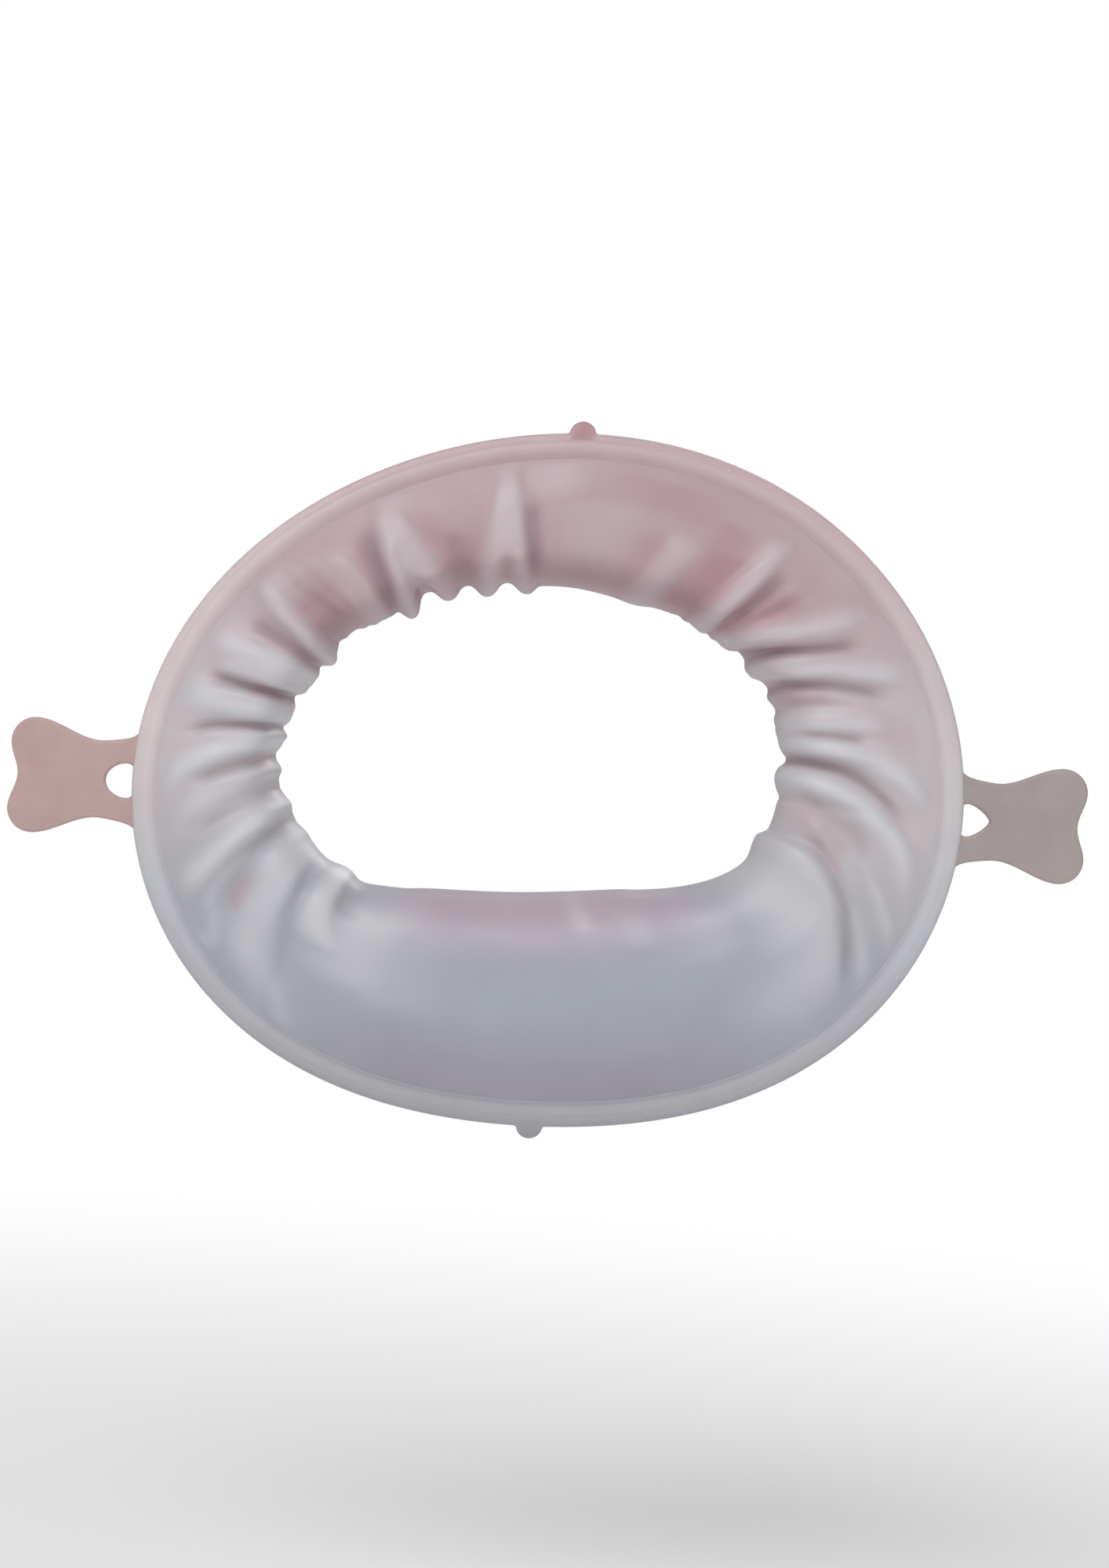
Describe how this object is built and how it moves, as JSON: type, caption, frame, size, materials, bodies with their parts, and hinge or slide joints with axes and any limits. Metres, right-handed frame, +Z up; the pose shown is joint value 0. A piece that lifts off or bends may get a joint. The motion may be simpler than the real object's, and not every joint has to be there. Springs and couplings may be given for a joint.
{
  "type": "cheek retractor",
  "caption": "Soft lip and cheek retractor: a flexible oval outer ring with bone-shaped pull tabs, an elastic sleeve round the mouth opening, and an inner ring behind the lips.",
  "frame": {"origin": "centre of the mouth opening at the narrowest place of the sleeve, where the lips hold the part", "axes": "+X to the right as seen from the front, +Y into the mouth, +Z up as worn"},
  "size_m": [0.1333, 0.026, 0.089],
  "materials": {
    "ring_elastomer": "satin",
    "tab_elastomer": "satin",
    "film_elastomer": "satin",
    "inner_elastomer": "satin"
  },
  "bodies": {
    "outer": {"outer_ring": "ring_elastomer", "front_film": "film_elastomer"},
    "left_tab": {"left_tab": "tab_elastomer"},
    "right_tab": {"right_tab": "tab_elastomer"},
    "waist": {"waist_film": "film_elastomer"},
    "back": {"back_film": "film_elastomer"},
    "inner": {"inner_ring": "inner_elastomer"}
  },
  "joints": [
    {"name": "left_tab_flex", "type": "hinge", "parent": "outer", "child": "left_tab", "pos_m": [-0.04989, -0.0065, -0.0083], "axis": [0, 0, 1], "range_deg": [-60, 90], "stiffness_Nm_per_rad": 0.002},
    {"name": "right_tab_flex", "type": "hinge", "parent": "outer", "child": "right_tab", "pos_m": [0.05503, -0.0065, -0.0062], "axis": [0, 0, -1], "range_deg": [-60, 90], "stiffness_Nm_per_rad": 0.002},
    {"name": "depth", "type": "slide", "parent": "outer", "child": "waist", "axis": [0, 1, 0], "range_m": [-0.005, 0.006], "stiffness_N_per_m": 200, "deforming": ["front_film"]},
    {"name": "swing", "type": "hinge", "parent": "waist", "child": "back", "pos_m": [0, 0, 0], "axis": [0, 0, 1], "range_deg": [-12, 12], "stiffness_Nm_per_rad": 0.08, "deforming": ["waist_film"]},
    {"name": "nod", "type": "hinge", "parent": "back", "child": "inner", "pos_m": [0, 0, 0], "axis": [1, 0, 0], "range_deg": [-12, 12], "stiffness_Nm_per_rad": 0.08, "deforming": ["back_film"]}
  ]
}
